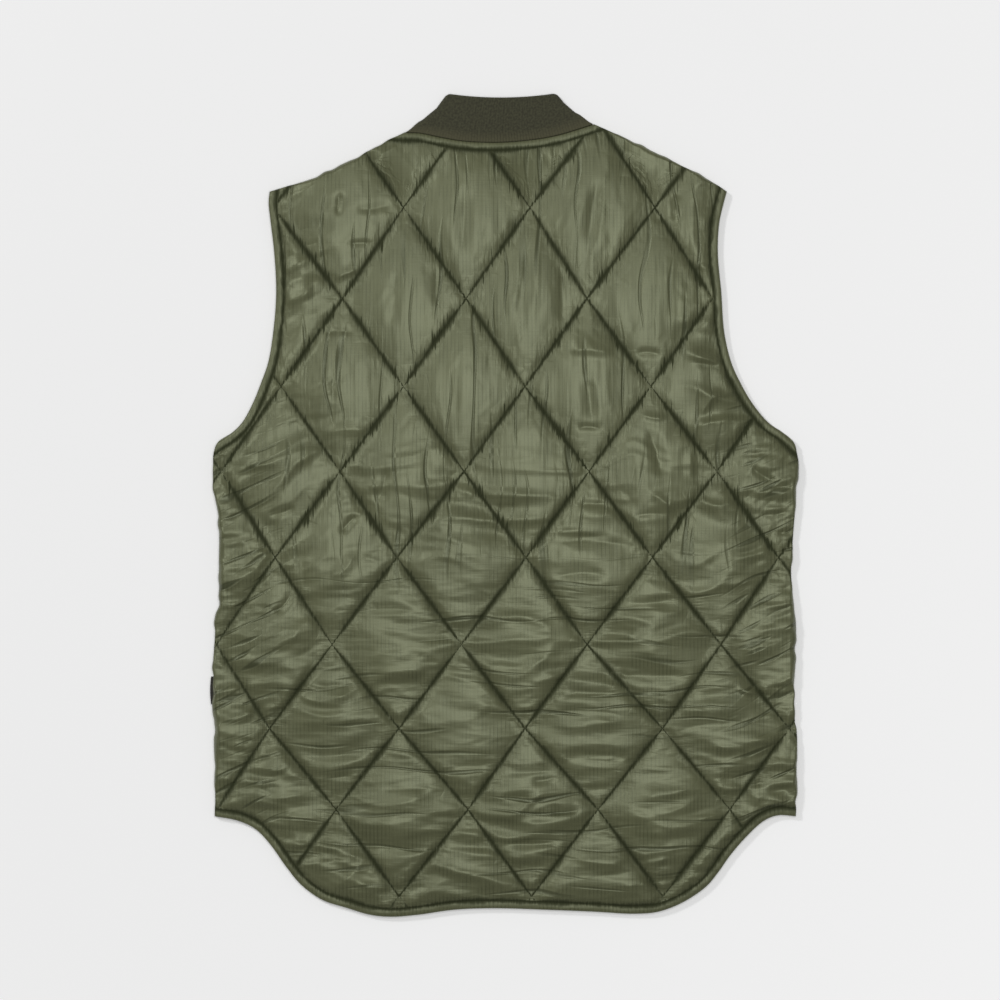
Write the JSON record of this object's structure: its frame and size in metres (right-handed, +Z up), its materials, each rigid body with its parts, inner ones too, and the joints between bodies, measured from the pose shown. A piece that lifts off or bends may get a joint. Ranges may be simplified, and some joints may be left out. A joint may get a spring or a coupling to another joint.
{
  "type": "quilted vest",
  "caption": "Sleeveless diamond-quilted nylon vest with a rib-knit stand collar, topstitched armholes, curved shirt-tail hem and a snap front, laid flat with its back up.",
  "frame": {"origin": "centre of the vest's box, at the surface that it lies on", "axes": "+X across the back towards the wearer's right, +Y towards the collar, +Z up from the surface, out of the back"},
  "size_m": [0.5885, 0.8241, 0.0137],
  "materials": {
    "shell": "olive-green ripstop nylon, quilted in diamonds over padding, with a satin sheen",
    "rib": "dark olive rib knit, matte",
    "tab": "dark grey-brown woven tape, folded",
    "snap": "dark olive-grey enamelled metal, satin"
  },
  "bodies": {
    "root": {"back_panel": "shell", "front_left": "shell", "front_right": "shell", "collar": "rib", "side_tab": "tab", "snap_1": "snap", "snap_2": "snap", "snap_3": "snap", "snap_4": "snap", "snap_5": "snap", "snap_6": "snap"}
  },
  "joints": []
}
